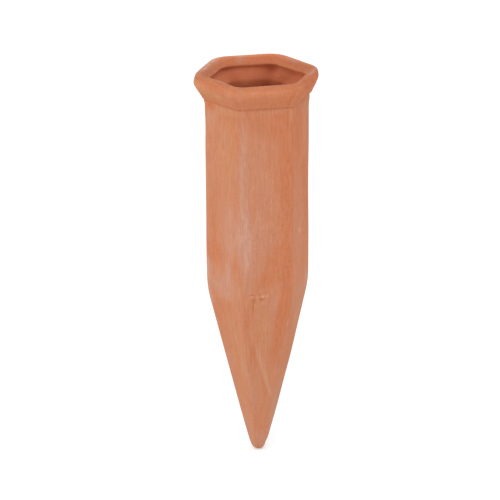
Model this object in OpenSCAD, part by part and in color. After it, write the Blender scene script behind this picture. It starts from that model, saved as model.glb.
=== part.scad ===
// Self watering spike: a hollow six-sided stake of porous fired clay, cast in one piece.
// An upturned bottle stands in its mouth, the point is pushed into the soil, and the
// water seeps out through the wall. The origin is the tip, +Z points up, two of the six
// edges lie in the XZ plane, and the flats between them face -Y and +Y.

/* [Overall] */
// Height from the tip to the top of the rim
spike_h = 170; // [150:1:220]
// Thickness of the cast wall, square to its outside
wall_t = 4.9; // [3.5:0.1:6]

/* [Collar] */
// Width across the flats at the collar's widest line
collar_flats = 49; // [46:0.5:54]
// Height of the collar, from its lower edge to the top of the rim
collar_h = 11.2; // [10:0.2:15]
// Radius of the collar's six upright edges, from the widest line up
collar_edge_r = 7.5; // [3:0.5:10]
// Height of the rim above the collar's widest line
lip_h = 3; // [2.6:0.2:4.4]
// Height of the plain band along the widest line
lip_band_h = 1.6; // [1.4:0.1:2.2]
// Radius of the bends above and below that band
lip_band_r = 2.2; // [1:0.1:2.4]
// How far the lip leans inwards from the widest line to the rim
lip_lean = 0.9; // [0.6:0.1:1.6]
// Overhang of the collar's lower edge beyond the shank
ledge_w = 0.8; // [0.3:0.1:1.2]
// Rise of the underside of that overhang
ledge_rise = 0.5; // [0.2:0.1:0.8]
// Radius of the crease under the overhang and of the overhang's edge
ledge_round_r = 0.3; // [0.1:0.1:0.5]

/* [Rim and mouth] */
// Width of the rim's flat top, before its two corners are rounded
rim_w = 2.2; // [1.8:0.1:3]
// Radius of the rim's two corners
rim_round_r = 1; // [0.5:0.1:1.3]
// Thickness of the lip, from the widest line to the edge of the mouth
lip_t = 5.9; // [5.4:0.1:7]
// Depth of the bevel that leads from the rim down to the edge of the mouth
bevel_h = 3.5; // [2.5:0.1:4]
// Radius of the edge of the mouth
mouth_round_r = 0.9; // [0.5:0.1:1.2]
// Radius of the six edges of the mouth and of the hollow behind it
mouth_edge_r = 5.5; // [3:0.5:7]

/* [Shank] */
// Width across the flats at the top of the shank, under the collar
shank_top_flats = 39.6; // [37:0.2:42]
// Width across the flats at the foot of the shank, where the point begins
shank_foot_flats = 38.8; // [36:0.2:41]
// Radius of the six upright edges of the shank and of the collar's lower edge
shank_edge_r = 3; // [1:0.5:6]

/* [Point] */
// Height of the point, from the tip to the foot of the shank
point_h = 74.6; // [60:0.2:95]
// Radius of the rounded tip
tip_r = 3.3; // [2.5:0.1:5]
// Radius of the point's six edges where they run out at the tip
tip_edge_r = 1.6; // [0.8:0.1:2.4]
// Radius of the soft bend between the shank and the point
shoulder_r = 45; // [20:1:70]

/* [Hollow] */
// Height of the throat, where the hollow narrows, above the collar's lower edge
throat_rise = 2.4; // [1:0.1:3]
// Radius of the bend at the throat
throat_r = 1.5; // [1:0.1:3]
// Depth of the hollow's widest line below the edge of the mouth
undercut_h = 2; // [1.6:0.1:2.4]
// Radius of the bend at the hollow's widest line
undercut_r = 1.2; // [0.6:0.1:1.4]
// Radius of the six edges of the hollow in the shank
hollow_edge_r = 4; // [2:0.5:6]
// Radius of the round end of the hollow, down in the point
hollow_end_r = 3; // [2:0.1:4]

/* [Hidden] */

terracotta = "#CE8C6A";

sides = 6;
side_angle = 360 / sides;
// Steps along each rounded upright edge
edge_steps = 7;
// Largest angle between two rings round a bend of the section, and fewest steps there
bend_angle = 12;
bend_steps = 3;
// Largest share of a ring's half width that the radius of its edges takes, so that a
// little of each flat is left in the round tip and in the round end of the hollow
most_round_share = 0.9;
// A ring closer than this share of the tip's radius to the axis closes to a point
axis_share = 0.001;

collar_half = collar_flats / 2;
shank_top_half = shank_top_flats / 2;
shank_foot_half = shank_foot_flats / 2;
ledge_z = spike_h - collar_h;
widest_z = spike_h - lip_h;

// Lean of the point's flats from the upright: the line from the foot of the shank that
// touches the round tip
tip_to_foot = norm([shank_foot_half, point_h - tip_r]);
point_lean = atan2(shank_foot_half, point_h - tip_r) - asin(tip_r / tip_to_foot);

// Distance from the axis at which a line leaning by point_lean starts, so that a bend of
// radius r there also touches the axis
function start_half(r) = r * tan((90 - point_lean) / 2);

// Rim and the bevel inside it
rim_half = collar_half - lip_lean;
mouth_half = collar_half - lip_t;
mouth_z = spike_h - bevel_h;

// Hollow: the wall's thickness inside the collar, the shank and the point
hollow_half = collar_half - wall_t;
throat_half = shank_top_half - wall_t;
foot_hollow_half = shank_foot_half - wall_t;
foot_hollow_z = point_h - wall_t * tan(point_lean / 2);
hollow_end_half = start_half(hollow_end_r);
hollow_end_z = foot_hollow_z - (foot_hollow_half - hollow_end_half) / tan(point_lean);

// Section from the tip, up the outside, over the rim and down the hollow. Each corner is
// [distance of the flats from the axis, height, radius of the bend, radius of the edges]
section = [
    [0, 0, 0, tip_edge_r],
    [start_half(tip_r), 0, tip_r, tip_edge_r],
    [shank_foot_half, point_h, shoulder_r, shank_edge_r],
    [shank_top_half, ledge_z, ledge_round_r, shank_edge_r],
    [shank_top_half + ledge_w, ledge_z + ledge_rise, ledge_round_r, shank_edge_r],
    [collar_half, widest_z - lip_band_h, lip_band_r, collar_edge_r],
    [collar_half, widest_z, lip_band_r, collar_edge_r],
    [rim_half, spike_h, rim_round_r, collar_edge_r],
    [rim_half - rim_w, spike_h, rim_round_r, mouth_edge_r],
    [mouth_half, mouth_z, mouth_round_r, mouth_edge_r],
    [hollow_half, mouth_z - undercut_h, undercut_r, mouth_edge_r],
    [throat_half, ledge_z + throat_rise, throat_r, hollow_edge_r],
    [foot_hollow_half, foot_hollow_z, shoulder_r, hollow_edge_r],
    [hollow_end_half, hollow_end_z, hollow_end_r, hollow_edge_r],
    [0, hollow_end_z, 0, hollow_edge_r]
];

function flat_point(corner) = [corner[0], corner[1]];
function unit(v) = v / norm(v);
// Turn from direction a to direction b, between -180 and 180 degrees
function turn_between(a, b) = (b - a + 540) % 360 - 180;

// Points of the bend at corner i, each [distance from the axis, height, radius of edges]
function bend(i) =
    let (
        at = flat_point(section[i]),
        bend_r = section[i][2],
        back = unit(flat_point(section[i - 1]) - at),
        ahead = unit(flat_point(section[i + 1]) - at),
        half_opening = acos(back * ahead) / 2,
        centre = at + unit(back + ahead) * bend_r / sin(half_opening),
        first = at + back * bend_r / tan(half_opening) - centre,
        last = at + ahead * bend_r / tan(half_opening) - centre,
        start = atan2(first[1], first[0]),
        sweep = turn_between(start, atan2(last[1], last[0])),
        steps = max(bend_steps, ceil(abs(sweep) / bend_angle))
    )
    [
        for (step = [0 : steps])
            let (angle = start + sweep * step / steps)
            [centre[0] + bend_r * cos(angle), centre[1] + bend_r * sin(angle), section[i][3]]
    ];

// One ring: a hexagon with rounded edges, round the axis
function ring(half, z, edge_r) =
    let (r = min(edge_r, most_round_share * half))
    [
        for (side = [0 : sides - 1], step = [0 : edge_steps])
            let (
                middle = side * side_angle,
                angle = middle + (step / edge_steps - 1 / 2) * side_angle,
                centre = (half - r) / cos(side_angle / 2)
            )
            [centre * cos(middle) + r * cos(angle), centre * sin(middle) + r * sin(angle), z]
    ];

// Skins a stack of rings and closes both its ends to a point on the axis
module ring_loft(rings, start_z, end_z) {
    per_ring = sides * (edge_steps + 1);
    last_ring = len(rings) - 1;
    points = concat([[0, 0, start_z]], [for (r = rings, p = r) p], [[0, 0, end_z]]);
    start_fan = [for (k = [0 : per_ring - 1]) [0, 1 + k, 1 + (k + 1) % per_ring]];
    skin = [
        for (i = [0 : last_ring - 1], k = [0 : per_ring - 1])
            let (
                a = 1 + i * per_ring + k,
                b = 1 + i * per_ring + (k + 1) % per_ring,
                c = b + per_ring,
                d = a + per_ring
            )
            each [[a, d, c], [a, c, b]]
    ];
    end_fan = [
        for (k = [0 : per_ring - 1])
            let (row = 1 + last_ring * per_ring)
            [row + (k + 1) % per_ring, row + k, len(points) - 1]
    ];
    polyhedron(points, concat(start_fan, skin, end_fan));
}

// The whole stake: collar, shank and point in one casting, hollow down into the point
module clay_spike() {
    profile = [
        for (i = [1 : len(section) - 2], p = bend(i))
            if (p[0] > axis_share * tip_r) p
    ];
    color(terracotta)
        ring_loft([for (p = profile) ring(p[0], p[1], p[2])], 0, hollow_end_z);
}

clay_spike();
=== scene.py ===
import math
import bpy
import numpy as np
from mathutils import Matrix, Vector, noise


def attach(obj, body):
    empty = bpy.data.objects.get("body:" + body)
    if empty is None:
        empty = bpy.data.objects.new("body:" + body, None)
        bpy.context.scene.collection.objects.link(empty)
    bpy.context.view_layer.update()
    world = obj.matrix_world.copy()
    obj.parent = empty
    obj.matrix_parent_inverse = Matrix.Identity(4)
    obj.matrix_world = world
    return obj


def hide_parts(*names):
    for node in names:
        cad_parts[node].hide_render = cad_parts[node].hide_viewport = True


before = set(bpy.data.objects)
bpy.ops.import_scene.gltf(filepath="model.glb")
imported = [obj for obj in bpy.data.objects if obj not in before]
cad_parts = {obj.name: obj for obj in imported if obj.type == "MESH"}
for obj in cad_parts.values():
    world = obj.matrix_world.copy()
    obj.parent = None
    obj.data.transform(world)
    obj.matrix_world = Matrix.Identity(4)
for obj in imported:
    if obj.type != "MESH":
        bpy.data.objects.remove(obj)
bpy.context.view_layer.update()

mm = 0.001               # every size below is in millimetres, Blender works in metres

# Self watering spike: one hollow six-sided stake of fired clay. The tip is at the origin,
# the rim is up, two of the six edges lie along X, and the front flat faces -Y.


def toLinear(hexColour):
    # an sRGB hex colour as Blender's linear RGBA
    parts = [int(hexColour[i:i + 2], 16) / 255 for i in (1, 3, 5)]
    return tuple(c / 12.92 if c <= 0.04045 else ((c + 0.055) / 1.055) ** 2.4
                 for c in parts) + (1.0,)


def perSize(sizeMm):
    # texture scale whose pattern repeats about every sizeMm
    return 1 / (sizeMm * mm)


def addNode(tree, kind, settings=None, links=()):
    # one node: its settings, and what goes into its inputs, by name or in order, each
    # another node's output or a value
    made = tree.nodes.new(kind)
    for name, value in (settings or {}).items():
        setattr(made, name, value)
    for name, source in links.items() if isinstance(links, dict) else enumerate(links):
        if isinstance(source, bpy.types.NodeSocket):
            tree.links.new(source, made.inputs[name])
        else:
            made.inputs[name].default_value = source
    return made


def smooth(low, high, x):
    # 0 below low, 1 above high, a soft S between them
    t = np.clip((x - low) / (high - low), 0, 1)
    return t * t * (3 - 2 * t)


def between(ends, x):
    # 0, then 1, then 0 again: it rises between the first two ends, falls between the others
    return smooth(*ends[:2], x) * (1 - smooth(*ends[2:], x))


def bell(x, middle, half):
    # 1 at the middle, about a third at half to either side
    return np.exp(-((x - middle) / half) ** 2)


def laidOver(under, share):
    # how much of two coats covers a place when one lies over the other
    return 1 - (1 - under) * (1 - share)


def turnFrom(towards, directions):
    # signed turn in degrees from one direction round the axis to others
    return (directions - towards + 180) % 360 - 180


shot = {
    "aim": (-2.94, 2.06, 89.45),   # mm, what the middle of the picture looks at
    "turn": 11.03,                 # degrees from straight in front, towards -X
    "rise": 18.6,                  # degrees above level
    "roll": -0.31,                 # degrees
    "distance": 2500,              # mm, a long lens from far away
    "lens": 422.2, "sensor": 36,   # mm
    "sight": 100,                  # m, past the far end of the floor
}

light = {
    "sky": 1.245,                  # strength of the soft light from all round,
    "overhead": 0.735,             # less of it from straight above,
    "overheadFrom": (0.1, 0.9),    # falling off between these heights of a direction
    "key": 13.5,                   # W, large soft box in front, a little left and above
    "keySize": 1.4,                # m, and so are the next two
    "keyFrom": (-0.85, -1.65, 1.5),
    "keyAim": (0, 0, 0.1),
    "floor": "#E1E6E7",
    "floorReach": 30,              # m to each side
    "floorLift": 0.345,            # only the camera sees this, so the floor reads as white
}

print("camera and light")
turn, rise, roll = (math.radians(shot[k]) for k in ("turn", "rise", "roll"))
back = Vector((-math.sin(turn) * math.cos(rise), -math.cos(turn) * math.cos(rise),
               math.sin(rise)))
right = Vector((math.cos(turn), -math.sin(turn), 0))
up = back.cross(right)
across = right * math.cos(roll) + up * math.sin(roll)
upright = up * math.cos(roll) - right * math.sin(roll)
place = Vector(shot["aim"]) * mm + back * shot["distance"] * mm
cameraData = bpy.data.cameras.new("camera")
cameraData.lens = shot["lens"]
cameraData.sensor_width = shot["sensor"]
cameraData.clip_end = shot["sight"]
camera = bpy.data.objects.new("camera", cameraData)
camera.matrix_world = Matrix((
    (across.x, upright.x, back.x, place.x),
    (across.y, upright.y, back.y, place.y),
    (across.z, upright.z, back.z, place.z),
    (0, 0, 0, 1)))
bpy.context.scene.collection.objects.link(camera)
bpy.context.scene.camera = camera
bpy.context.scene.view_settings.view_transform = "Standard"

# soft light from all round; the camera, gloss and glass see plain white in its place
world = bpy.data.worlds.new("studio")
bpy.context.scene.world = world
world.use_nodes = True
tree = world.node_tree
tree.nodes.clear()
rays = addNode(tree, "ShaderNodeLightPath")
seen = addNode(tree, "ShaderNodeMath", {"operation": "MAXIMUM"},
               (rays.outputs["Is Camera Ray"], rays.outputs["Is Glossy Ray"]))
seen = addNode(tree, "ShaderNodeMath", {"operation": "MAXIMUM"},
               (seen.outputs[0], rays.outputs["Is Transmission Ray"]))
direction = addNode(tree, "ShaderNodeTexCoord").outputs["Generated"]
direction = addNode(tree, "ShaderNodeSeparateXYZ", {}, (direction,))
dome = addNode(tree, "ShaderNodeMapRange", {},
               (direction.outputs["Z"], *light["overheadFrom"], light["sky"], light["overhead"]))
strength = addNode(tree, "ShaderNodeMapRange", {},
                   {"Value": seen.outputs[0], "To Min": dome.outputs["Result"], "To Max": 1.0})
sky = addNode(tree, "ShaderNodeBackground", {},
              {"Color": (1, 1, 1, 1), "Strength": strength.outputs["Result"]})
addNode(tree, "ShaderNodeOutputWorld", {}, {"Surface": sky.outputs[0]})

keyData = bpy.data.lights.new("softBox", "AREA")
keyData.shape = "SQUARE"
keyData.size = light["keySize"]
keyData.energy = light["key"]
key = bpy.data.objects.new("softBox", keyData)
key.location = light["keyFrom"]
keyAway = Vector(light["keyFrom"]) - Vector(light["keyAim"])
key.rotation_euler = keyAway.to_track_quat("Z", "Y").to_euler()
bpy.context.scene.collection.objects.link(key)

# a sweep of matt white paper: even, without gloss, and it keeps the shadow at the tip
floorMesh = bpy.data.meshes.new("floor")
reach = light["floorReach"]
floorMesh.from_pydata([(-reach, -reach, 0), (reach, -reach, 0), (reach, reach, 0),
                       (-reach, reach, 0)], [], [(0, 1, 2, 3)])
floor = bpy.data.objects.new("floor", floorMesh)
bpy.context.scene.collection.objects.link(floor)
paper = bpy.data.materials.new("whitePaper")
paper.use_nodes = True
tree = paper.node_tree
tree.nodes.clear()
rays = addNode(tree, "ShaderNodeLightPath")
seen = addNode(tree, "ShaderNodeMath", {"operation": "MAXIMUM"},
               (rays.outputs["Is Camera Ray"], rays.outputs["Is Glossy Ray"]))
lift = addNode(tree, "ShaderNodeMath", {"operation": "MULTIPLY"},
               (seen.outputs[0], light["floorLift"]))
matt = addNode(tree, "ShaderNodeBsdfDiffuse", {}, {"Color": toLinear(light["floor"])})
glow = addNode(tree, "ShaderNodeEmission", {},
               {"Color": (1, 1, 1, 1), "Strength": lift.outputs[0]})
both = addNode(tree, "ShaderNodeAddShader", {}, (matt.outputs[0], glow.outputs[0]))
addNode(tree, "ShaderNodeOutputMaterial", {}, {"Surface": both.outputs[0]})
floorMesh.materials.append(paper)

spike = {
    # names with Flats are widths across the flats, names with R are radii of bends
    "height": 170, "wall": 4.9,
    "collarFlats": 49, "collarHeight": 11.2,
    "lipHeight": 3.0, "lipBand": 1.6, "lipBandR": 2.2, "lipLean": 0.9,
    "ledge": 0.8, "ledgeRise": 0.5, "ledgeR": 0.4,
    "rimWidth": 2.2, "rimOuterR": 1.4, "rimInnerR": 1.0,
    "lipThick": 5.9, "bevelDepth": 3.1, "mouthR": 0.6,
    "shankTopFlats": 39.6, "shankFootFlats": 38.8,
    "pointHeight": 74.6, "tipR": 3.3, "tipEdgeR": 1.6, "shoulderR": 45,
    "throatRise": 2.4, "throatR": 1.5, "undercutDepth": 2.0, "undercutR": 1.2,
    "hollowEdgeR": 4.0, "hollowEndR": 3.0,
    # radii of the six upright edges, from +X on round through +Y, uneven as on the real one
    "collarEdges": (9.0, 8.0, 9.5, 7.5, 3.5, 7.0),
    "shankEdges": (3.0, 3.0, 3.4, 3.0, 3.5, 2.0),
    "mouthEdges": (4.0, 6.0, 7.0, 4.5, 5.0, 5.5),
    "mostRound": 0.9,                    # most of a ring's half width that they may take
    # mesh spacing: outside, inside, beside the collar's lower edge, at the crumbs' heights
    "stepOut": 0.8, "stepIn": 1.7, "stepFine": 0.3, "crumbStep": 0.4,
    "fineReach": 1.5, "crumbHeights": (70, 77),
    "bendTurn": 8, "bendSteps": 3,       # degrees for each step of a bend, fewest steps
    "edgePoints": 12, "flatPoints": (18, 18, 18, 24, 40, 24),
    "axisGap": 0.02,                     # rings narrower than this close to a point

    # what the hand left on it
    "sway": 0.12, "swaySize": 30,        # slow unevenness of the whole wall
    "rub": 0.025, "rubSize": 5.0, "rubRun": 6,   # where a wet sponge went along it
    "lumps": 0.09, "lumpSize": 2.6, "lumpsFrom": (165.0, 167.5),   # the rim was pressed
    "evenBelow": (2, 12),                # the tip has none of these three
    "heldFrom": (160, 165),              # the collar's widest part only sinks in
    "rimWave": 0.08, "rimWaveSize": 16, "rimWaveFrom": (160, 168),   # how far its top dips
    "wipedFrom": (167.4, 168.2),         # the top was wiped level, so it doesn't rise
    "tipShift": -0.05, "tipShiftAt": (-1, 1, 0, 70),   # the point ends a little off the axis
    # pulls and swellings: direction, spread in degrees, height, half height, amount
    "pulls": (
        (0, 42, 165.4, 2.0, -0.5), (0, 34, 157.0, 2.2, 0.34), (0, 34, 159.6, 1.7, 0.16),
        (180, 42, 158.2, 1.0, 0.36), (180, 34, 163.9, 1.8, 0.2), (150, 30, 169.2, 2.0, 0.35),
        (0, 50, 42, 14, 0.45), (0, 50, 21, 9, 0.24), (0, 50, 70, 8, -0.12),
        (180, 50, 40, 16, 0.18), (180, 50, 17, 11, 0.1), (180, 42, 90, 11, 0.15),
        (180, 42, 147, 6, -0.2), (90, 60, 170, 1.6, 0.5), (45, 20, 169.8, 1.6, 0.6),
        (122, 16, 170, 1.6, 0.3), (270, 62, 170, 1.4, -0.34), (238, 24, 170, 1.4, -0.2),
        (0, 50, 118, 18, -0.17), (350, 60, 2.5, 1.5, -0.48), (170, 50, 2.4, 1.2, -0.26),
    ),
    # a low crease that runs down across the front of the point: across, height
    "crease": ((-9.1, 74.1), (-6.4, 59.3), (-3.2, 49.3), (-0.5, 40.8), (2.1, 31.7),
               (4.1, 25.6)),
    "creaseRise": 0.28, "creaseWidth": 1.15, "creaseAt": (22, 30, 56, 72),
    "dip": 0.16, "dipGap": 3.2, "dipWidth": 3.0, "dipAt": (24, 44, 66, 78),   # to its right
    # the line that a tool left where the collar meets the shank, deepest at one direction: its
    # mean share of that depth and how far it swings from that
    "score": 0.05, "scoreHeight": 158.7, "scoreHalf": 0.35, "scoreDeepest": -100,
    "scoreSwing": (0.4, 0.7),
    # crumbs of clay and small dents at the shoulder: across, height, size, rise
    "crumbs": (
        (-4.2, 75.5, 0.6, 0.5), (-1.9, 75.5, 0.85, 0.6), (-6.4, 75.5, 0.7, 0.4),
        (-1.2, 75.4, 0.6, 0.4), (-5.4, 75.3, 0.5, 0.3), (-5.5, 73.9, 1.0, -0.5),
        (-2.2, 74.2, 0.9, -0.45), (-3.1, 76.4, 0.7, -0.35), (-5.6, 71.4, 1.0, -0.3),
        (-5.7, 69.0, 0.9, -0.25), (-1.0, 73.0, 1.1, -0.2), (0.9, 71.4, 1.0, -0.2),
    ),
    "crumbSteep": 1.6,
}


def cornerArc(before, at, after, radius, s):
    # the rounded corner of the section at one of its points
    if radius == 0:
        return [at]
    a = np.subtract(before, at) / np.linalg.norm(np.subtract(before, at))
    b = np.subtract(after, at) / np.linalg.norm(np.subtract(after, at))
    opening = math.acos(np.clip(a @ b, -1, 1)) / 2
    middle = (a + b) / np.linalg.norm(a + b)
    centre = at + middle * radius / math.sin(opening)
    first = at + a * radius / math.tan(opening) - centre
    last = at + b * radius / math.tan(opening) - centre
    start = math.atan2(first[1], first[0])
    sweep = (math.atan2(last[1], last[0]) - start + 3 * math.pi) % (2 * math.pi) - math.pi
    steps = max(s["bendSteps"], math.ceil(abs(math.degrees(sweep)) / s["bendTurn"]))
    return [tuple(centre + radius * np.array((math.cos(start + sweep * i / steps),
                                              math.sin(start + sweep * i / steps))))
            for i in range(steps + 1)]


def spikeSection(s):
    # corners of the section, up the outside, over the rim and down the hollow:
    # distance from the axis, height, radius of the bend, radii of the six upright edges
    collar = s["collarFlats"] / 2
    top, foot = s["shankTopFlats"] / 2, s["shankFootFlats"] / 2
    ledgeZ = s["height"] - s["collarHeight"]
    widestZ = s["height"] - s["lipHeight"]
    drop = s["pointHeight"] - s["tipR"]
    lean = math.atan2(foot, drop) - math.asin(s["tipR"] / math.hypot(foot, drop))
    startAt = math.tan((math.pi / 2 - lean) / 2)
    rim = collar - s["lipLean"]
    mouth, mouthZ = collar - s["lipThick"], s["height"] - s["bevelDepth"]
    footIn = foot - s["wall"]
    footInZ = s["pointHeight"] - s["wall"] * math.tan(lean / 2)
    endIn = s["hollowEndR"] * startAt
    endZ = footInZ - (footIn - endIn) / math.tan(lean)
    tipEdges = (s["tipEdgeR"],) * 6
    mouthEdges = s["mouthEdges"]
    hollowEdges = (s["hollowEdgeR"],) * 6
    outer = [
        (0, 0, 0, tipEdges),
        (startAt * s["tipR"], 0, s["tipR"], tipEdges),
        (foot, s["pointHeight"], s["shoulderR"], s["shankEdges"]),
        (top, ledgeZ, s["ledgeR"], s["shankEdges"]),
        (top + s["ledge"], ledgeZ + s["ledgeRise"], s["ledgeR"], s["shankEdges"]),
        (collar, widestZ - s["lipBand"], s["lipBandR"], s["collarEdges"]),
        (collar, widestZ, s["lipBandR"], s["collarEdges"]),
        (rim, s["height"], s["rimOuterR"], s["collarEdges"]),
        (rim - s["rimWidth"], s["height"], s["rimInnerR"], mouthEdges)]
    inner = [
        (mouth, mouthZ, s["mouthR"], mouthEdges),
        (collar - s["wall"], mouthZ - s["undercutDepth"], s["undercutR"], mouthEdges),
        (top - s["wall"], ledgeZ + s["throatRise"], s["throatR"], hollowEdges),
        (footIn, footInZ, s["shoulderR"], hollowEdges),
        (endIn, endZ, s["hollowEndR"], hollowEdges),
        (0, endZ, 0, hollowEdges)]
    return outer, inner


def sectionRows(s):
    # the section as closely spaced rows: distance, height, six edge radii, 1 if outside
    outer, inner = spikeSection(s)
    corners = outer + inner
    marks = []
    for i in range(1, len(corners) - 1):
        flat = [np.array(corners[j][:2], float) for j in (i - 1, i, i + 1)]
        for p in cornerArc(*flat, corners[i][2], s):
            marks.append(np.array((*p, *corners[i][3], float(i < len(outer)))))
    rows = []
    for a, b in zip(marks, marks[1:]):
        step = s["stepIn"]
        if a[-1] > 0.5:
            step = s["stepOut"]
            if abs(a[1] - s["height"] + s["collarHeight"]) < s["fineReach"]:
                step = s["stepFine"]
            if s["crumbHeights"][0] < a[1] < s["crumbHeights"][1]:
                step = s["crumbStep"]
        count = max(1, math.ceil(np.hypot(*(b - a)[:2]) / step))
        rows += [a + (b - a) * k / count for k in range(count)]
    rows = np.array(rows + [marks[-1]])
    return rows[rows[:, 0] > s["axisGap"]], corners[0][1], corners[-1][1]


def hexRing(row, s):
    # points round the axis of a hexagon whose six edges have their own radii
    half, z = row[:2]
    radii = np.minimum(row[2:8], s["mostRound"] * half)
    halfTurn = math.radians(30)          # from the middle of an edge to that of a flat
    points = []
    for k in range(6):
        r, nextR = radii[k], radii[(k + 1) % 6]
        middle = math.radians(60 * k)
        angles = middle + np.linspace(-halfTurn, halfTurn, s["edgePoints"])
        centre = (half - r) / math.cos(halfTurn)
        points.append(np.column_stack((centre * math.cos(middle) + r * np.cos(angles),
                                       centre * math.sin(middle) + r * np.sin(angles))))
        facing = middle + halfTurn
        out = np.array((math.cos(facing), math.sin(facing)))
        along = np.array((-out[1], out[0]))
        slope = math.tan(halfTurn)
        t = np.linspace(-(half - r) * slope, (half - nextR) * slope, s["flatPoints"][k] + 2)[1:-1]
        points.append(out * half + t[:, None] * along)
    flat = np.concatenate(points)
    return np.column_stack((flat, np.full(len(flat), z)))


def outwards(grid):
    # surface direction at each grid point, from its neighbours round and along
    aroundIt = np.roll(grid, -1, axis=1) - np.roll(grid, 1, axis=1)
    along = np.gradient(grid, axis=0)
    n = np.cross(aroundIt, along)
    return n / np.maximum(np.linalg.norm(n, axis=2, keepdims=True), 1e-12)


def fieldNoise(points, size, seed, stretch=(1, 1, 1)):
    # smooth noise, about -1 to 1, with lumps of about size mm
    shift = Vector((seed * 17.3, seed * 5.9, seed * 11.1))
    flat = points.reshape(-1, 3) / (size * np.array(stretch))
    values = [noise.noise(Vector(p) + shift) for p in flat]
    return np.array(values).reshape(points.shape[:-1])


def faceFrame(facing):
    # outward and sideways direction of a face, sideways to the right seen from outside
    turnTo = math.radians(facing)
    out = np.array((math.cos(turnTo), math.sin(turnTo), 0))
    return out, np.array((-out[1], out[0], 0))


def faceShare(n, out):
    # 1 on the face that looks along out, 0 on its neighbours, soft round the edge between,
    # from about 53 to 14 degrees away from it
    return smooth(0.6, 0.97, n @ out)


def nearLine(u, z, line):
    # distance to a line of points, and on which side of it: + to the right
    best, side = np.full(u.shape, 1e9), np.zeros(u.shape)
    for a, b in zip(np.array(line), np.array(line)[1:]):
        d = b - a
        t = np.clip(((u - a[0]) * d[0] + (z - a[1]) * d[1]) / (d @ d), 0, 1)
        du, dz = u - a[0] - t * d[0], z - a[1] - t * d[1]
        gap = np.hypot(du, dz)
        nearer = gap < best
        best = np.where(nearer, gap, best)
        side = np.where(nearer, np.sign(du), side)
    return best, side


print("clay body")
rows, startZ, endZ = sectionRows(spike)
evenGrid = np.array([hexRing(row, spike) for row in rows])
perRing = evenGrid.shape[1]
print("  rows", len(rows), "points round", perRing)

outward = outwards(evenGrid)
around = np.degrees(np.arctan2(evenGrid[..., 1], evenGrid[..., 0])) % 360
height = evenGrid[..., 2]
outside = np.repeat(rows[:, -1:], perRing, axis=1)    # 1 outside, falls to 0 over the bevel
isOutside = outside > 0.5
frontOut, frontAlong = faceFrame(270)
acrossFront = evenGrid @ frontAlong
frontShare = faceShare(outward, frontOut) * isOutside
creaseGap, creaseSide = nearLine(acrossFront, height, spike["crease"])


def scoreShare(s, swing):
    # how deep the tool's line is, round the collar's foot
    return (bell(height, s["scoreHeight"], s["scoreHalf"]) * isOutside
            * np.clip(swing[0] + swing[1] * np.cos(np.radians(around - s["scoreDeepest"])), 0, 1))


def handMarks(s):
    # the even clay body with what the hand left on it
    z = height
    sway = fieldNoise(evenGrid, s["swaySize"], 1) * s["sway"]
    rub = fieldNoise(evenGrid, s["rubSize"], 2, (1, 1, s["rubRun"])) * s["rub"]
    held = smooth(*s["heldFrom"], z) * isOutside
    lift = sway * (1 - held) - np.abs(sway) * held + rub - s["rub"] * held
    lumps = 0.5 + 0.5 * fieldNoise(evenGrid, s["lumpSize"], 5)
    lift -= lumps * s["lumps"] * smooth(*s["lumpsFrom"], z)
    lift *= smooth(*s["evenBelow"], z)
    lift += (frontShare * between(s["creaseAt"], z) * s["creaseRise"]
             * bell(creaseGap, 0, s["creaseWidth"]))
    lift -= (frontShare * between(s["dipAt"], z) * s["dip"] * (creaseSide > 0)
             * bell(creaseGap, s["dipGap"], s["dipWidth"]))
    for cu, cz, size, rise in s["crumbs"]:
        away = ((acrossFront - cu) / size) ** 2 + ((z - cz) / size) ** 2
        lift += frontShare * rise * np.exp(-away * s["crumbSteep"])
    for direction, spread, cz, half, amount in s["pulls"]:
        lift += (amount * np.exp(-2 * (turnFrom(direction, around) / spread) ** 2)
                 * bell(z, cz, half) * smooth(0.1, 0.9, outside))
    lift -= s["score"] * scoreShare(s, s["scoreSwing"])
    moved = evenGrid + outward * lift[..., None]
    top = smooth(*s["wipedFrom"], z)
    moved[..., 2] = moved[..., 2] * (1 - top) + np.minimum(moved[..., 2], z) * top
    wave = (0.5 + 0.5 * fieldNoise(evenGrid, s["rimWaveSize"], 3)) * s["rimWave"]
    moved[..., 2] -= wave * smooth(*s["rimWaveFrom"], z)
    moved[..., 0] += s["tipShift"] * between(s["tipShiftAt"], z)
    return moved


def lathe(name, grid, startPoint, endPoint):
    # one closed mesh from a stack of rings
    count, perRing = grid.shape[:2]
    points = np.concatenate(([startPoint], grid.reshape(-1, 3), [endPoint])) * mm
    faces = []
    for k in range(perRing):
        faces.append((0, 1 + (k + 1) % perRing, 1 + k))
    for i in range(count - 1):
        for k in range(perRing):
            a = 1 + i * perRing + k
            b = 1 + i * perRing + (k + 1) % perRing
            faces.append((a, b, b + perRing, a + perRing))
    row = 1 + (count - 1) * perRing
    for k in range(perRing):
        faces.append((row + k, row + (k + 1) % perRing, len(points) - 1))
    mesh = bpy.data.meshes.new(name)
    mesh.from_pydata(points.tolist(), [], faces)
    mesh.update()
    mesh.shade_smooth()
    piece = bpy.data.objects.new(name, mesh)
    bpy.context.scene.collection.objects.link(piece)
    return piece


grid = handMarks(spike)
tipAt = grid[0].mean(axis=0)
endAt = grid[-1].mean(axis=0)
body = lathe("claySpike", grid, (*tipAt[:2], startZ), (*endAt[:2], endZ))
print("  triangles", sum(len(p.vertices) - 2 for p in body.data.polygons))

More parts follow.
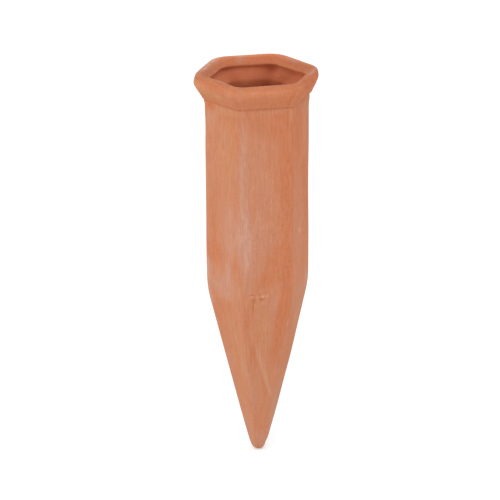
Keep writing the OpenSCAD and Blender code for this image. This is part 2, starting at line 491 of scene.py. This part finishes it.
# where each shade of the clay lies
paint = {
    # soft patches on the flats, of the collar too: direction that the flat faces in degrees,
    # middle across and in height, half width and half height in mm, lean in degrees, amount
    "patches": {
        "warm": [                        # clean clay, well oxidised
            (210, -7, 156.6, 3.4, 2.2, 0, 0.8), (210, -6, 108, 2.2, 16, 0, 0.5),
            (210, -6, 92, 5.5, 6, 5, 0.7), (210, 8.5, 89, 2.5, 4, 0, 0.5),
            (210, -6, 65, 4.5, 9, 10, 0.45), (210, 1, 68, 5, 5, 0, 0.35),
            (210, 0, 48, 9, 18, 0, 0.25), (210, 8, 148, 5, 12, 0, 0.5),
            (210, 3, 153, 6, 6, 0, 0.4), (270, 8.8, 124, 3.5, 40, 0, 0.75),
            (270, 5, 150, 8, 6, 0, 0.5), (270, 4.6, 140, 4, 20, 0, 0.25),
            (270, -4, 153, 9, 6, 0, 0.4), (270, 6.6, 93, 6.2, 6.5, -25, 0.65),
            (270, 9.3, 80, 3.2, 18, 0, 0.85), (270, 1.5, 85, 5, 6, 0, 0.6),
            (270, -2.0, 83, 4, 4, -30, 0.6), (270, -7.6, 66, 1.5, 9, -12, 0.4),
            (270, -4.5, 50, 1.3, 9, -16, 0.35), (270, 0.5, 14, 2.0, 6, 0, 0.25),
            (300, 0, 120, 2.5, 40, 0, 0.7), (330, -6, 146, 8, 14, 0, 1.0),
            (330, 0, 164, 14, 6, 0, 1.0), (330, 7, 125, 2, 30, 0, 0.4),
            (330, 3, 126, 5, 7, 0, 0.6), (330, 0, 104, 12, 36, 0, 0.5),
            (330, -5, 62, 5, 10, 0, 0.6), (330, -1, 46, 8, 11, 0, 0.5),
        ],
        "pale": [                        # a thin film of dried salts
            (210, -6.5, 152, 3, 6, 0, 0.4), (210, 4.5, 103, 4, 13, 0, 0.7),
            (210, -8.8, 70.5, 2.0, 4, 8, 0.9), (210, -9.4, 75, 1.6, 4, 0, 0.7),
            (210, -3.7, 42, 1.6, 5, 9, 0.5), (210, -1, 4, 3, 4, 0, 0.4),
            (330, 6.9, 78, 2.4, 5, 0, 0.9), (210, 10.5, 100, 2.0, 12, 0, 0.8),
            (210, 1, 78.5, 8.5, 5.5, 0, 0.7), (210, -9.5, 84, 2, 6, 0, 0.7),
            (210, 3.0, 84, 2.6, 7, 0, 0.8), (210, 5, 40, 1.8, 22, 9, 0.5),
            (210, 0, 15, 3, 9, 0, 0.4), (210, 3, 145, 2, 5, 0, 0.4),
            (270, -9.6, 122, 2.2, 34, 0, 0.75), (270, -8.6, 99, 3.4, 14, 0, 0.9),
            (270, -8.3, 80.5, 1.6, 4, 0, 0.35), (270, -3, 118, 5, 30, 0, 0.18),
            (270, -3.2, 103, 3.0, 9, 0, 0.4), (270, -5, 88, 3.5, 7, 0, 0.35),
            (270, 1.5, 97, 2, 4, 0, 0.3), (270, -0.5, 65, 4.0, 7, 0, 0.12),
            (270, 3.0, 71.5, 2, 4.5, 0, 0.45), (270, -4, 26, 2.2, 16, -8, 0.5),
            (330, -3, 108, 6.5, 22, 0, 0.35), (330, -9.3, 106, 0.8, 21, 0, 0.4),
            (330, 0, 72, 9, 8, 0, 0.3), (330, -2, 18, 4, 13, 0, 0.5), (270, 0, 6, 3, 5, 0, 0.6),
            (270, -6.4, 167.5, 1.3, 1.0, 0, 0.6), (270, -12.4, 165, 2.4, 1.6, 0, 0.4),
            (270, -11.4, 167.8, 2.6, 1.6, 0, 0.4), (210, 9, 165, 2.5, 2.5, 0, 0.3),
            (210, 0, 156, 12, 1.0, 0, 0.25),
        ],
        "tan": [                         # lime-rich clay, a little yellower
            (210, -3, 163.6, 9, 2.0, 0, 0.8), (210, 4, 156.5, 8, 1.8, 0, 0.6),
            (210, -11.5, 166, 3.5, 2.5, 0, 0.6), (210, 4, 140, 6, 16, 0, 0.4),
            (210, 2, 50, 4, 16, 0, 0.45), (210, -1, 26, 3, 8, 0, 0.3),
            (270, -1, 63, 3.6, 8, 0, 0.6), (270, -0.5, 52, 1.8, 7, -6, 0.5),
            (270, -3, 30, 2.5, 8, 0, 0.3), (270, 1, 165, 9, 2.0, 0, 0.2),
            (270, -4, 72, 3, 3, 0, 0.4), (270, 3, 157, 10, 1.0, 0, 0.25),
            (270, 10.9, 155.2, 0.6, 3.2, 0, 0.8), (270, 6.5, 157.9, 4.5, 0.45, 0, 0.7),
            (210, 0, 156, 12, 1.4, 0, 0.7),
        ],
        "white": [                       # where the film is thickest
            (270, -10.2, 128, 1.8, 26, 0, 0.1), (270, -9.4, 106, 2.4, 12, 0, 0.3),
            (270, -8.2, 92, 1.5, 11, -2, 0.3), (210, 2.4, 84, 2.0, 5, 0, 0.2),
            (210, 9.5, 103, 1.6, 7, 0, 0.2), (210, -9.8, 84, 0.8, 4, 0, 0.4),
            (330, -2, 101.6, 1.1, 0.7, 0, 1.0), (330, -9.6, 61, 0.6, 2.6, -14, 0.9),
            (330, -4.4, 17, 0.6, 2.2, -14, 0.7), (300, 0.2, 168.2, 1.6, 0.4, -35, 0.3),
            (180, 1.5, 168.6, 0.5, 0.5, 0, 0.6),
        ],
        "ruddy": [                       # where the film is rubbed right off
            (210, -6.2, 156.8, 2.6, 1.8, 0, 0.6), (270, 5.8, 155.5, 3, 1.5, 0, 0.3),
            (270, 8.5, 163.5, 4.5, 2.2, 0, 0.35), (330, 0, 128, 13, 34, 0, 0.2),
            (330, -7, 66, 2.5, 10, 0, 0.2), (330, 0, 162, 14, 5, 0, 0.25),
        ],
        "crumb": [                       # painted highlight on small crumbs that stuck to the flat
            (270, -1.8, 75.6, 1.0, 0.45, 0, 0.75), (270, -4.2, 75.6, 0.4, 0.8, 0, 0.6),
            (270, -6.6, 75.7, 0.7, 0.45, 0, 0.4), (270, 0.2, 75.6, 1.2, 0.5, 0, 0.25),
        ],
        "raw": [                         # painted shade in the dents by the crumbs
            (270, -5.6, 73.6, 0.9, 1.2, 0, 0.35), (270, -1.9, 74.2, 1.3, 0.7, 0, 0.35),
            (270, -6.6, 76.5, 1.5, 0.35, 0, 0.4), (270, -3.0, 76.6, 0.6, 0.6, 0, 0.3),
            (270, -5.8, 70.6, 0.4, 2.6, 0, 0.3), (270, -0.2, 77.2, 0.7, 0.6, 0, 0.2),
            (270, -0.6, 71.0, 1.2, 1.0, 0, 0.15),
        ],
    },
    # how far the outlines of the patches waver across and up, in mm, and over what length
    "waverAcross": 0.7, "waverAcrossSize": 6, "waverUp": 1.8, "waverUpSize": 9,
    # half sizes in mm: narrower, longer and lower patches than these waver less
    "fullAcross": 2, "fullLong": 12, "fullUp": 4,
    # the flats that face away get patches of the same kinds at random places: kind, count,
    # share of the full size
    "rearFlats": (30, 90, 150), "rearSeed": 11,
    "rearKinds": (("warm", 7, 1.0), ("pale", 7, 1.0), ("tan", 4, 1.0), ("white", 3, 0.4)),
    "rearHeight": (20, 155), "rearRoom": 9, "rearRoomFrom": 75,   # less room below that
    "rearHalf": (1.5, 5), "rearHalfUp": (6, 20), "rearLean": (-6, 6), "rearAmount": (0.4, 0.9),
    # marks on the rim: direction and spread in degrees, distance from the axis and half
    # width in mm, amount
    "rim": {
        "scuff": (
            (138, 20, 22.4, 1.0, 1.0), (162, 12, 21.8, 1.0, 0.7), (98, 6, 20.4, 1.5, 0.5),
            (64, 6, 23.2, 0.6, 0.4), (96, 6, 22.3, 0.8, 0.5), (222, 18, 21.5, 0.5, 1.0),
            (260, 30, 21.5, 0.5, 0.3), (345, 12, 22.9, 0.6, 0.65), (4, 9, 23.0, 0.8, 0.4),
            (60, 14, 23.4, 0.5, 0.35), (20, 8, 22.4, 0.7, 0.3), (32, 12, 21.3, 0.7, 0.4),
            (131, 7, 21.9, 0.9, 0.7),
        ),
        # painted shade on the rim's flat top and bevel, which face up and get less light than the
        # lip
        "dusky": (
            (168, 26, 21.2, 2.2, 0.85), (148, 34, 19.2, 0.9, 0.5), (350, 16, 22.4, 2.2, 0.85),
            (18, 24, 20.6, 2.0, 0.55), (338, 20, 21.8, 1.5, 0.8), (226, 26, 22.6, 1.1, 0.9),
            (278, 34, 22.0, 1.4, 0.95), (316, 18, 22.6, 1.6, 0.8), (190, 16, 21.6, 1.6, 0.8),
        ),
        # painted highlight on the back of the rim, which faces the light
        "slip": (
            (90, 34, 21.6, 1.8, 0.55),
        ),
        "ruddy": (
            (70, 24, 21.0, 2.2, 0.6),
        ),
    },
    # marks on the side of the lip and in the mouth, with a height in place of the distance
    "lip": {
        # painted shade on the side of the lip
        "dusky": (
            (318, 16, 167.0, 2.0, 0.35), (184, 12, 168.8, 1.0, 0.5),
        ),
        # painted highlight where the lip's top leans back towards the light
        "slip": (
            (262, 32, 167.6, 2.0, 0.6), (186, 14, 166.0, 2.2, 0.5),
        ),
        "ruddy": (
            (336, 28, 166.2, 4.0, 0.85), (314, 6, 168.6, 1.3, 0.5),
        ),
    },
    # painted light and painted shade inside the mouth: lit where its wall catches the light, dark
    # in its corners, under its edge and further down
    "mouth": {
        "lit": (
            (154, 22, 163.8, 3.4, 0.7), (97, 15, 162.6, 3.0, 0.7), (73, 5, 163.0, 2.2, 0.4),
            (124, 10, 163.4, 2.2, 0.35), (36, 7, 164.4, 2.0, 0.5), (45, 9, 163.7, 2.8, 0.8),
        ),
        "dark": (
            (62, 8, 164.9, 2.1, 0.85), (116, 10, 165.4, 1.0, 0.5), (90, 62, 166.1, 0.5, 0.9),
            (30, 14, 164.8, 1.0, 0.4), (34, 26, 163.0, 2.6, 0.35), (76, 14, 160.5, 2.0, 0.35),
            (112, 10, 161.2, 2.0, 0.2), (62, 10, 158.5, 3.0, 0.45), (74, 9, 165.6, 1.0, 0.4),
            (40, 13, 160.0, 3.0, 0.6),
        ),
    },
    # noise that breaks up the marks, as a hand rubs only the high grains: its sizes in mm, and
    # the least left of scuffs, of the rim's painted shade and of the mouth's painted light
    "scuffGrain": (2.0, 0.9), "scuffLeast": 0.2, "rimShadeLeast": 0.45,
    "litGrain": 3.5, "litLeast": 0.6,
    # heights in mm between which one kind of surface gives way to the next above it
    "heights": {
        "deep": (156.5, 161.8),          # the bottom of what shows of the hollow
        "neck": (157.9, 159.1), "collar": (155, 160), "lip": (166.0, 167.5),
        "mouthEdge": (165.8, 167.4), "bevelTop": (166.4, 167.2),
        "rim": (166.3, 167.6), "rimTop": (167.0, 168.4), "rimCrest": (167.0, 168.6),
    },
    "collarWarm": 0.9,                   # the collar is clean clay nearly all over
    # edges that a hand or another pot has rubbed: amount by how sharply they turn, and less
    # on two of them: direction, spread, how much less
    "worn": 0.6, "wornTurn": 2.2, "wornLess": ((300, 10, 0.4), (240, 10, 0.3)),
    "wornAt": (3, 20, 154, 157.5),
    "brown": 0.1, "brownFades": (35, 75),          # soil has stained the point a little
    # left edge of the warm band on the right of the point: across, height
    "bandEdge": ((6.6, 80), (5.2, 74), (4.2, 66), (3.6, 58), (2.8, 48), (1.2, 40), (0.9, 34)),
    "bandSoft": 0.8, "bandWaver": 0.7, "bandWaverSize": 5, "bandWarm": 0.9,
    "bandAt": (36, 54, 73, 80),
    # painted highlight on the crest of the crease, and warm clay beside it: how far to the
    # crease's right and half width in mm, heights, and for the crest its least and most and the
    # heights between
    "crest": (0.1, 0.85), "crestAt": (22, 32, 52, 64), "crestPale": (0.2, 0.8, 44, 56),
    "beside": (-1.7, 1.1), "besideAt": (24, 34, 62, 76), "besideWarm": 0.5,
    "scored": 0.15, "scoredSwing": (0.35, 0.75),   # painted shade in the tool's line
    "litShare": 0.75, "deepShare": 0.7,  # painted light where the mouth's wall is lit, and painted shade further down
    # how much less the upward strokes show on the collar, and how much they do in the mouth
    "combedLess": 0.2, "combedMouth": 0.2,
    # how strongly the sand shows: more than on the shank by this, and on the mouth's bevel
    # and inside it
    "sandCollar": 0.4, "sandLip": 0.3, "sandBevel": 1.7, "sandMouth": 0.8,
}


def paintPatches(marks):
    # soft ovals on the flats, with wavering outlines
    total = np.zeros(height.shape)
    for facing, cu, cz, halfU, halfZ, lean, amount in marks:
        out, along = faceFrame(facing)
        du = (evenGrid @ along - cu + waverAcross * min(1, halfU / paint["fullAcross"])
              * min(1, paint["fullLong"] / halfZ))
        dz = height - cz + waverUp * min(1, halfZ / paint["fullUp"])
        tilt = math.radians(lean)
        a = (du * math.cos(tilt) + dz * math.sin(tilt)) / halfU
        b = (dz * math.cos(tilt) - du * math.sin(tilt)) / halfZ
        soft = 1 - smooth(0.45, 1.35, np.hypot(a, b))
        total = laidOver(total, np.clip(amount * soft * faceShare(outward, out), 0, 1))
    return total * isOutside


def rearPatches(p):
    # patches for the flats that the photograph doesn't show
    pick = np.random.default_rng(p["rearSeed"])
    made = {kind: [] for kind in p["patches"]}
    for facing in p["rearFlats"]:
        for kind, count, size in p["rearKinds"]:
            for _ in range(count):
                z = pick.uniform(*p["rearHeight"])
                room = p["rearRoom"] * min(1, z / p["rearRoomFrom"])
                made[kind].append((facing, pick.uniform(-room, room), z,
                                   pick.uniform(*p["rearHalf"]) * size,
                                   pick.uniform(*p["rearHalfUp"]) * size,
                                   pick.uniform(*p["rearLean"]), pick.uniform(*p["rearAmount"])))
    return made


def ringMarks(marks, value):
    # marks that follow the ring: soft ovals in direction and in value
    total = np.zeros(height.shape)
    for direction, spread, middle, half, amount in marks:
        spot = amount * bell(turnFrom(direction, around), 0, spread) * bell(value, middle, half)
        total = laidOver(total, spot)
    return total


def brokenUp(least, pattern):
    # the share that is left where a noise breaks up a mark
    return least + (1 - least) * smooth(-0.3, 0.3, pattern)


print("patches of colour")
waverAcross = fieldNoise(evenGrid, paint["waverAcrossSize"], 21) * paint["waverAcross"]
waverUp = fieldNoise(evenGrid, paint["waverUpSize"], 22) * paint["waverUp"]
rear = rearPatches(paint)
layers = {kind: paintPatches(spots + rear[kind]) for kind, spots in paint["patches"].items()}
risen = {name: smooth(*ends, height) for name, ends in paint["heights"].items()}
halfWidth = np.repeat(rows[:, :1], perRing, axis=1)

# how sharply the wall turns on its way round, per mm
bend = np.linalg.norm(np.roll(outward, -2, axis=1) - np.roll(outward, 2, axis=1), axis=2)
gap = np.linalg.norm(np.roll(evenGrid, -2, axis=1) - np.roll(evenGrid, 2, axis=1), axis=2)
sharpness = bend / np.maximum(gap, 0.05)
rubbed = paint["worn"]
for direction, spread, less in paint["wornLess"]:
    rubbed = rubbed - less * bell(around, direction, spread)
layers["worn"] = (np.clip(sharpness * paint["wornTurn"], 0, 1) * rubbed * isOutside
                  * between(paint["wornAt"], height))

coarse, fine = paint["scuffGrain"]
broken = brokenUp(paint["scuffLeast"], fieldNoise(evenGrid, coarse, 31)
                  + 0.7 * fieldNoise(evenGrid, fine, 32))
layers["scuff"] = ringMarks(paint["rim"]["scuff"], halfWidth) * risen["rimTop"] * broken
onRim = {kind: ringMarks(paint["rim"][kind], halfWidth) for kind in paint["lip"]}
onLip = {kind: ringMarks(marks, height) * isOutside for kind, marks in paint["lip"].items()}
# painted shade on the rim's top and the lip's side, broken up like the scuffs
rimShadeTop = np.where(outside > 0.99, risen["rimCrest"], risen["bevelTop"])
rimShadeLeft = paint["rimShadeLeast"] + (1 - paint["rimShadeLeast"]) * broken
layers["dusky"] = np.maximum(onRim["dusky"] * rimShadeTop * rimShadeLeft, onLip["dusky"])
# painted highlight on the back of the rim and along the lip's top
layers["slip"] = np.maximum(onRim["slip"] * risen["rim"], onLip["slip"])
layers["ruddy"] = laidOver(layers["ruddy"],
                           np.maximum(onRim["ruddy"] * risen["rim"], onLip["ruddy"]))

# the inside of the mouth is painted darker, a painted shade, taken back where its wall is lit and
# deeper in its corners and further down
inMouth = np.where(isOutside, 0.0, 1 - risen["mouthEdge"])
lit = (ringMarks(paint["mouth"]["lit"], height)
       * brokenUp(paint["litLeast"], fieldNoise(evenGrid, paint["litGrain"], 33)))
dark = ringMarks(paint["mouth"]["dark"], height)
layers["hollow"] = inMouth * (1 - paint["litShare"] * lit)
layers["deep"] = inMouth * np.clip(dark + paint["deepShare"] * (1 - risen["deep"]), 0, 1)
layers["brown"] = paint["brown"] * (1 - smooth(*paint["brownFades"], height)) * isOutside
# painted shade along the tool's line at the collar's foot, over the painted shade in the dents
layers["raw"] = laidOver(layers["raw"], paint["scored"] * scoreShare(spike, paint["scoredSwing"]))

# the warm band on the point, the painted highlight on the crest of the crease and the clay beside
# it
waver = fieldNoise(evenGrid, paint["bandWaverSize"], 34) * paint["bandWaver"]
gap, side = nearLine(acrossFront + waver, height, paint["bandEdge"])
band = (smooth(-paint["bandSoft"], paint["bandSoft"], gap * side) * frontShare
        * between(paint["bandAt"], height))
rightOfCrease = creaseGap * creaseSide
beside = (bell(rightOfCrease, *paint["beside"]) * frontShare * paint["besideWarm"]
          * between(paint["besideAt"], height))
warm = laidOver(layers["warm"], paint["collarWarm"] * risen["neck"])
warm = laidOver(warm, paint["bandWarm"] * band)
layers["warm"] = np.clip(warm + beside, 0, 1)
# painted highlight along the crest of the crease
least, most, *ends = paint["crestPale"]
layers["film"] = (bell(rightOfCrease, *paint["crest"]) * frontShare
                  * between(paint["crestAt"], height)
                  * (least + (most - least) * (1 - smooth(*ends, height))))

# the shank was combed upwards, the collar less so; the lip and rim were sponged round
layers["combed"] = np.where(
    isOutside, (1 - paint["combedLess"] * risen["collar"]) * (1 - risen["lip"]),
    paint["combedMouth"] * inMouth)
layers["sandy"] = np.where(
    isOutside, 1 + paint["sandCollar"] * risen["collar"] + paint["sandLip"] * risen["lip"],
    paint["sandBevel"] + (paint["sandMouth"] - paint["sandBevel"]) * inMouth)
layers["girth"] = halfWidth * mm

for kind, values in layers.items():
    data = np.concatenate(([values[0].mean()], values.reshape(-1), [values[-1].mean()]))
    body.data.attributes.new(kind, "FLOAT", "POINT").data.foreach_set("value", data)

terracotta = {
    "clay": "#CC8660",
    # coats over that, in this order: layer, colour, then for some the noise that breaks it
    # up, between which values of it, and the share that is left at each
    "coats": (
        ("warm", "#CA7C53", "mottle", (0.35, 0.6), (0.9, 1.0)),
        ("pale", "#CB937A", "mottle", (0.35, 0.65), (0.85, 1.0)),
        ("white", "#D4AA97", "fine", (0.35, 0.6), (0.4, 1.0)),
        ("tan", "#CA8C62"),
        ("worn", "#CB937A", "cloud", (0.4, 0.62), (0.1, 0.8)),
        # several coats are painted light and shade: highlights on the crease's crest, the crumbs
        # and the rim, shade in dents, the tool's line, the rim's top and the mouth
        ("ruddy", "#CC6E40"), ("brown", "#BC7A56"), ("film", "#CF9878"), ("raw", "#AC5636"),
        ("crumb", "#E6A179"), ("slip", "#DA9168"), ("hollow", "#C4704C"), ("deep", "#984425"),
        ("dusky", "#AE6C4E"), ("scuff", "#CBA699"),
    ),
    # under them a thin film of dried salts all over: how much each noise has to do with it,
    # between which sums of them, and its share at each
    "dried": "#CB937A", "driedBy": {"cloud": 0.7, "blush": 0.4, "combing": 0.35},
    "driedFrom": (0.38, 0.78), "driedShare": (0.16, 0.24),
    # sizes of the patterns in mm; the sand is really about 0.2 mm and the hair lines of the
    # sponge are finer still, so both are drawn coarser than that, to show
    "grain": 0.42, "fineStreak": 0.7,
    "patch": 14, "streak": 2.2, "streakRun": 16,     # streaks this many times longer upwards
    "waver": 18, "waverReach": 3.5,      # the strokes waver a little on their way up
    "stroke": 1.3, "ringRun": 3,         # the same on the rim, but they run round it
    "ring": 20,                          # radius of the ring that the way round is read on
    "mottle": 1.5, "mottleRun": 2.5,     # tan spots, longer along the wall
    "blush": 4.5,                        # rosy spots
    # specks and pits: gaps in mm, then the share of a gap that is full and that is clear
    "speck": "#A86A4C", "speckGap": 3.4, "speckSize": (0.04, 0.1), "speckShare": 0.35,
    "pitGap": 1.5, "pitSize": (0.08, 0.2), "pitDepth": 1.2,
    # how much lighter or darker each noise makes the clay, and the layer it follows
    "tones": (("fine", "combed", 0.058), ("strokes", "sponged", 0.045), ("grain", "sandy", 0.07)),
    "hue": (0.497, 0.503), "richness": (1.015, 0.985), "darkRicher": 0.35,
    "relief": 0.05, "reliefStrength": 0.7, "grainRelief": 0.6, "fineRelief": 0.8,
    "roughness": (0.83, 0.93), "diffuseRoughness": 0.8, "ior": 1.5, "specular": 0.3,
}


def makeTerracotta(t, layerNames):
    # unglazed low-fired red clay, sponged and dried: matt, chalky where salts dried on it
    made = bpy.data.materials.new("unglazedTerracotta")
    made.use_nodes = True
    tree = made.node_tree
    tree.nodes.clear()
    where = {name: addNode(tree, "ShaderNodeAttribute", {"attribute_name": name}).outputs["Fac"]
             for name in layerNames}
    where["sponged"] = addNode(tree, "ShaderNodeMath", {"operation": "SUBTRACT"},
                               (1.0, where["combed"])).outputs[0]

    # places to read the noises at: stretched up the wall, stretched round it, and for spots
    place = addNode(tree, "ShaderNodeTexCoord").outputs["Object"]
    level = addNode(tree, "ShaderNodeVectorMath", {"operation": "MULTIPLY"}, (place, (1, 1, 0)))
    ring = addNode(tree, "ShaderNodeVectorMath", {"operation": "NORMALIZE"}, (level.outputs[0],))
    ring = addNode(tree, "ShaderNodeVectorMath", {"operation": "SCALE"},
                   {0: ring.outputs[0], "Scale": t["ring"] * mm}).outputs[0]
    lift = addNode(tree, "ShaderNodeVectorMath", {"operation": "MULTIPLY"},
                   (place, (0, 0, 1 / t["streakRun"])))
    waver = addNode(tree, "ShaderNodeTexNoise", {},
                    {"Vector": place, "Scale": perSize(t["waver"]), "Detail": 1.0})
    waver = addNode(tree, "ShaderNodeVectorMath", {"operation": "SCALE"},
                    {0: waver.outputs["Color"], "Scale": t["waverReach"] * mm})
    upwards = ring
    for part in (lift, waver):
        upwards = addNode(tree, "ShaderNodeVectorMath", {"operation": "ADD"},
                          (upwards, part.outputs[0])).outputs[0]
    heightAt = addNode(tree, "ShaderNodeSeparateXYZ", {}, (place,)).outputs["Z"]
    girth = addNode(tree, "ShaderNodeCombineXYZ", {}, {"X": where["girth"], "Z": heightAt})
    aroundIt = addNode(tree, "ShaderNodeVectorMath", {"operation": "SCALE"},
                       {0: ring, "Scale": 1 / t["ringRun"]})
    aroundIt = addNode(tree, "ShaderNodeVectorMath", {"operation": "ADD"},
                       (girth.outputs[0], aroundIt.outputs[0])).outputs[0]
    spotted = addNode(tree, "ShaderNodeVectorMath", {"operation": "MULTIPLY"},
                      (place, (1, 1, 1 / t["mottleRun"]))).outputs[0]

    noises = {}
    for name, at, size, detail, rough in (
            ("cloud", place, t["patch"], 3.0, 0.5),
            ("strokes", aroundIt, t["stroke"], 3.0, 0.65),
            ("streaks", upwards, t["streak"], 2.0, 0.6),
            ("fine", upwards, t["fineStreak"], 2.0, 0.6),
            ("grain", place, t["grain"], 2.0, 0.7),
            ("mottle", spotted, t["mottle"], 2.0, 0.5),
            ("blush", place, t["blush"], 2.0, 0.6)):
        noises[name] = addNode(tree, "ShaderNodeTexNoise", {},
                               {"Vector": at, "Scale": perSize(size), "Detail": detail,
                                "Roughness": rough}).outputs["Fac"]

    # the body colour drifts between clean clay and a thin film of dried salts
    combing = addNode(tree, "ShaderNodeMath", {"operation": "SUBTRACT"}, (noises["streaks"], 0.5))
    noises["combing"] = addNode(tree, "ShaderNodeMath", {"operation": "MULTIPLY"},
                                (combing.outputs[0], where["combed"])).outputs[0]
    dried = 0.0
    for name, part in t["driedBy"].items():
        dried = addNode(tree, "ShaderNodeMath", {"operation": "MULTIPLY_ADD"},
                        (noises[name], part, dried)).outputs[0]
    dried = addNode(tree, "ShaderNodeMapRange", {}, (dried, *t["driedFrom"], *t["driedShare"]))
    colour = addNode(tree, "ShaderNodeMix", {"data_type": "RGBA"},
                     {0: dried.outputs[0], 6: toLinear(t["clay"]), 7: toLinear(t["dried"])})
    for name, shade, *breakUp in t["coats"]:
        share = where[name]
        if breakUp:
            pattern, ends, left = breakUp
            left = addNode(tree, "ShaderNodeMapRange", {}, (noises[pattern], *ends, *left))
            share = addNode(tree, "ShaderNodeMath", {"operation": "MULTIPLY"},
                            (share, left.outputs[0])).outputs[0]
        colour = addNode(tree, "ShaderNodeMix", {"data_type": "RGBA"},
                         {0: share, 6: colour.outputs[2], 7: toLinear(shade)})

    # hair lines of the sponge, its strokes on the rim and the sandy grain, all faint
    usual = (0.3, 0.7)                   # nearly all values of a noise lie between these
    tone = 0.0
    for name, layer, swing in t["tones"]:
        swung = addNode(tree, "ShaderNodeMapRange", {}, (noises[name], *usual, -swing, swing))
        tone = addNode(tree, "ShaderNodeMath", {"operation": "MULTIPLY_ADD"},
                       (swung.outputs[0], where[layer], tone)).outputs[0]
    lighter = addNode(tree, "ShaderNodeMath", {"operation": "ADD"}, (tone, 1.0))
    # tan and rosy spots, and richer where it is darker
    hue = addNode(tree, "ShaderNodeMapRange", {}, (noises["mottle"], *usual, *t["hue"]))
    rich = addNode(tree, "ShaderNodeMapRange", {}, (noises["blush"], *usual, *t["richness"]))
    rich = addNode(tree, "ShaderNodeMath", {"operation": "MULTIPLY_ADD"},
                   (tone, -t["darkRicher"], rich.outputs[0]))
    toned = addNode(tree, "ShaderNodeHueSaturation", {},
                    {"Color": colour.outputs[2], "Value": lighter.outputs[0],
                     "Hue": hue.outputs[0], "Saturation": rich.outputs[0]})

    # dark specks in the clay, and pits in its skin
    specks = addNode(tree, "ShaderNodeTexVoronoi", {},
                     {"Vector": place, "Scale": perSize(t["speckGap"])}).outputs["Distance"]
    specks = addNode(tree, "ShaderNodeMapRange", {},
                     (specks, *t["speckSize"], t["speckShare"], 0.0))
    toned = addNode(tree, "ShaderNodeMix", {"data_type": "RGBA"},
                    {0: specks.outputs[0], 6: toned.outputs[0], 7: toLinear(t["speck"])})
    pits = addNode(tree, "ShaderNodeTexVoronoi", {},
                   {"Vector": place, "Scale": perSize(t["pitGap"])}).outputs["Distance"]
    pits = addNode(tree, "ShaderNodeMapRange", {}, (pits, *t["pitSize"], -t["pitDepth"], 0.0))
    relief = 0.0
    for part, share in ((noises["grain"], t["grainRelief"]), (noises["fine"], t["fineRelief"]),
                        (pits.outputs[0], 1.0)):
        relief = addNode(tree, "ShaderNodeMath", {"operation": "MULTIPLY_ADD"},
                         (part, share, relief)).outputs[0]
    bump = addNode(tree, "ShaderNodeBump", {},
                   {"Height": relief, "Strength": t["reliefStrength"],
                    "Distance": t["relief"] * mm})
    rough = addNode(tree, "ShaderNodeMapRange", {}, (noises["grain"], *usual, *t["roughness"]))
    shader = addNode(tree, "ShaderNodeBsdfPrincipled", {},
                     {"Base Color": toned.outputs[2], "Normal": bump.outputs[0],
                      "Roughness": rough.outputs[0], "IOR": t["ior"],
                      "Diffuse Roughness": t["diffuseRoughness"],
                      "Specular IOR Level": t["specular"]})
    addNode(tree, "ShaderNodeOutputMaterial", {}, {"Surface": shader.outputs[0]})
    return made


print("terracotta")
body.data.materials.append(makeTerracotta(terracotta, list(layers)))
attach(body, "root")
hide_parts("clay_spike")
